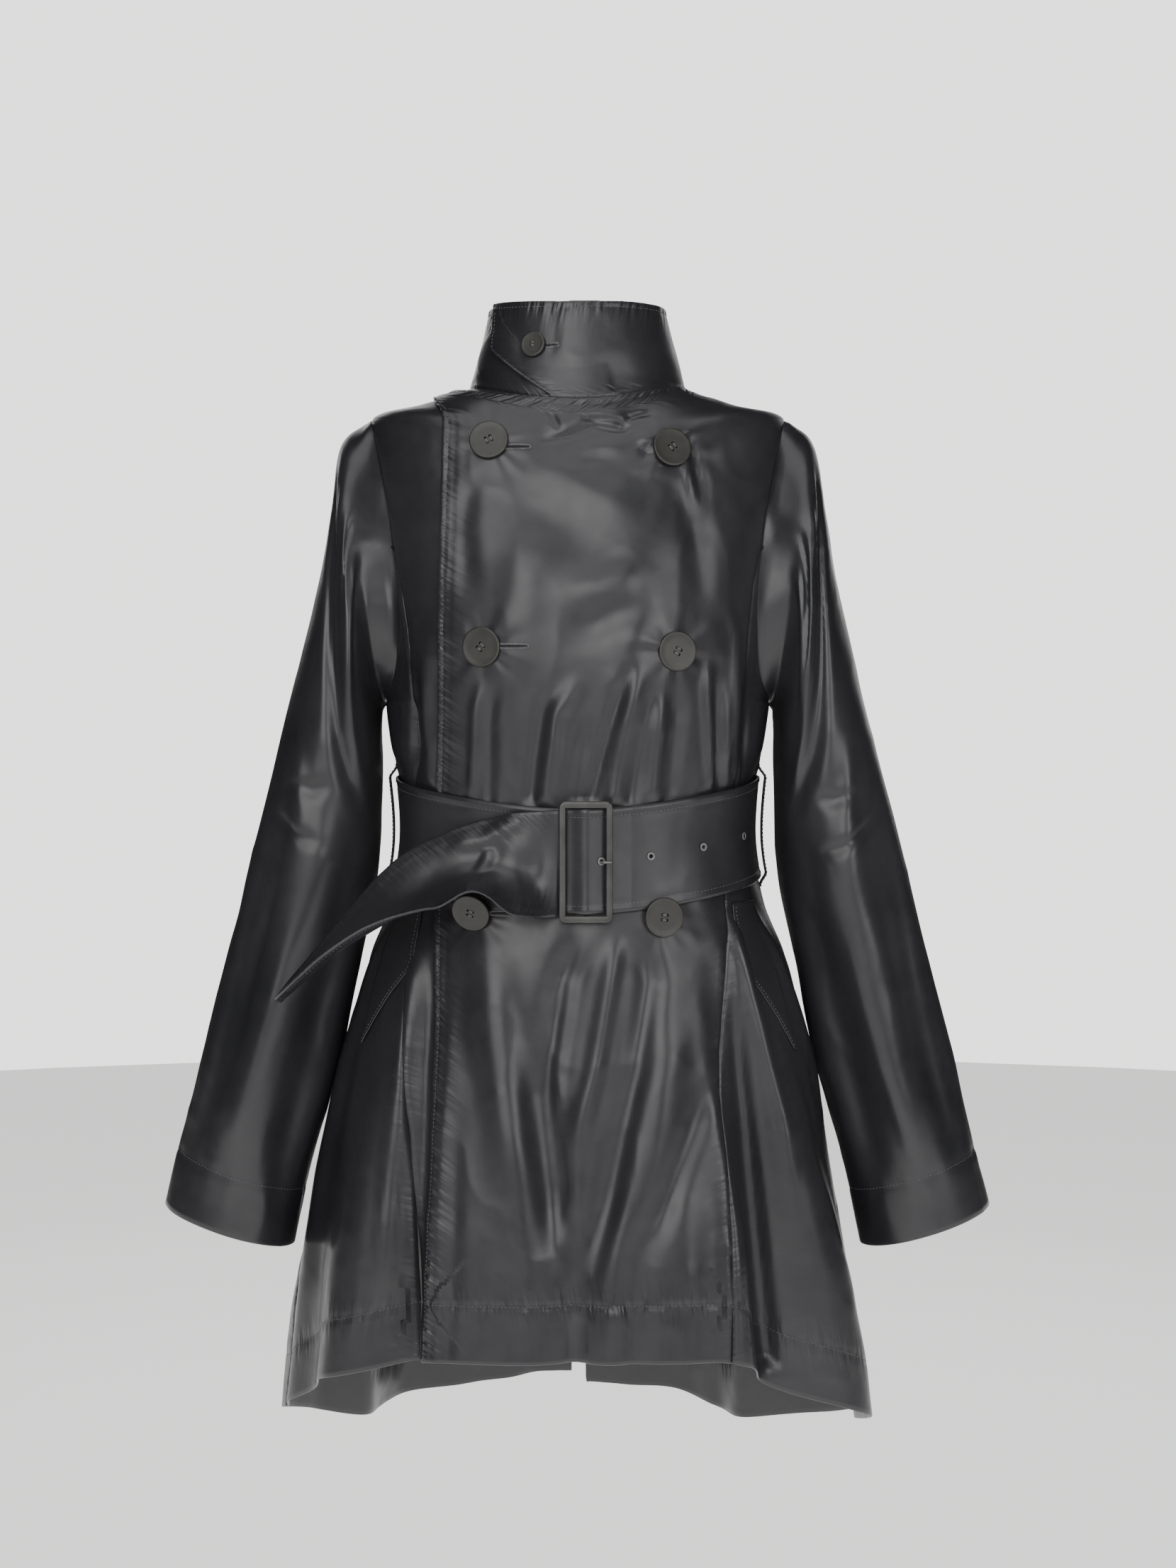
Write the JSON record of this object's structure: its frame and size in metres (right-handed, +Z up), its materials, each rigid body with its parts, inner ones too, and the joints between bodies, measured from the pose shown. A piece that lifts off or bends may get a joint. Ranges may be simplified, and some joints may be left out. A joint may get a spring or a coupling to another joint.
{
  "type": "trench coat",
  "caption": "Double-breasted belted trench coat in dark shiny taffeta with a buttoned stand collar, long sleeves and a flared skirt with a back vent.",
  "frame": {"origin": "centre of the neck base, at the collar seam, where the wearer's shoulders carry the coat", "axes": "+Z up, +X to the wearer's left, the front faces -Y"},
  "size_m": [0.697, 0.3932, 1.0044],
  "materials": {
    "cloth": "shiny charcoal taffeta",
    "lining": "smooth dark taupe lining",
    "button": "dark olive-black semi-gloss",
    "buckle": "gunmetal grey satin",
    "eyelet": "grey satin"
  },
  "bodies": {
    "root": {"front_over": "cloth", "front_under": "cloth", "side_front_left": "cloth", "side_front_right": "cloth", "back_left": "cloth", "back_right": "cloth", "sleeve_left": "cloth", "sleeve_right": "cloth", "collar": "cloth", "belt": "cloth", "belt_tail": "cloth", "belt_loop_left": "cloth", "belt_loop_right": "cloth", "pocket_left": "cloth", "pocket_right": "cloth", "lining_left": "lining", "lining_right": "lining", "button_top_right": "button", "button_top_left": "button", "button_middle_right": "button", "button_middle_left": "button", "button_lower_right": "button", "button_lower_left": "button", "button_collar": "button", "buckle_frame": "buckle", "buckle_prong": "buckle", "eyelet_1": "eyelet", "eyelet_2": "eyelet", "eyelet_3": "eyelet", "eyelet_4": "eyelet"}
  },
  "joints": []
}
